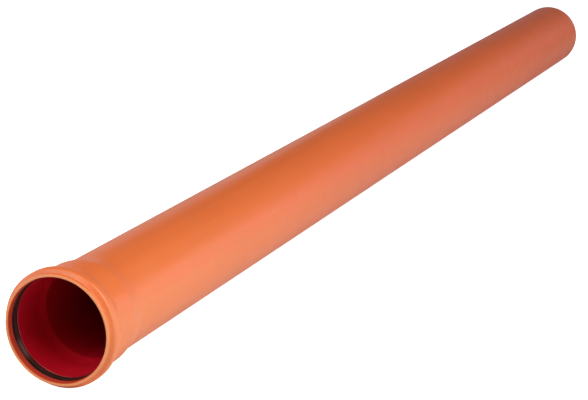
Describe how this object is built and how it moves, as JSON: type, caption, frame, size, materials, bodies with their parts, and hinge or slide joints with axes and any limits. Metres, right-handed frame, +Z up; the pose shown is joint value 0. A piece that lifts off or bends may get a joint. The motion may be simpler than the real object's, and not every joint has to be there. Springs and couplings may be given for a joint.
{
  "type": "pvc sewer pipe",
  "caption": "Orange-brown PVC-U sewer pipe with a formed ring-seal socket at one end, a black rubber sealing ring in its bead and a chamfered spigot at the other end.",
  "frame": {"origin": "on the floor, under the middle of the lying pipe's bounding box", "axes": "+Z up; +Y runs along the pipe from the socket's mouth to the spigot end, and the pipe's axis drops by 0.26 degrees on the way because the pipe rests on its socket bead and its spigot end; +X is to the right when looking along +Y"},
  "size_m": [0.1278, 2.0004, 0.1282],
  "materials": {
    "pvc": "extruded PVC-U, orange-brown, satin gloss with faint lines along the pipe",
    "seal_rubber": "black moulded rubber, lightly lubricated"
  },
  "bodies": {
    "root": {"pipe": "pvc", "seal_ring": "seal_rubber"}
  },
  "joints": []
}
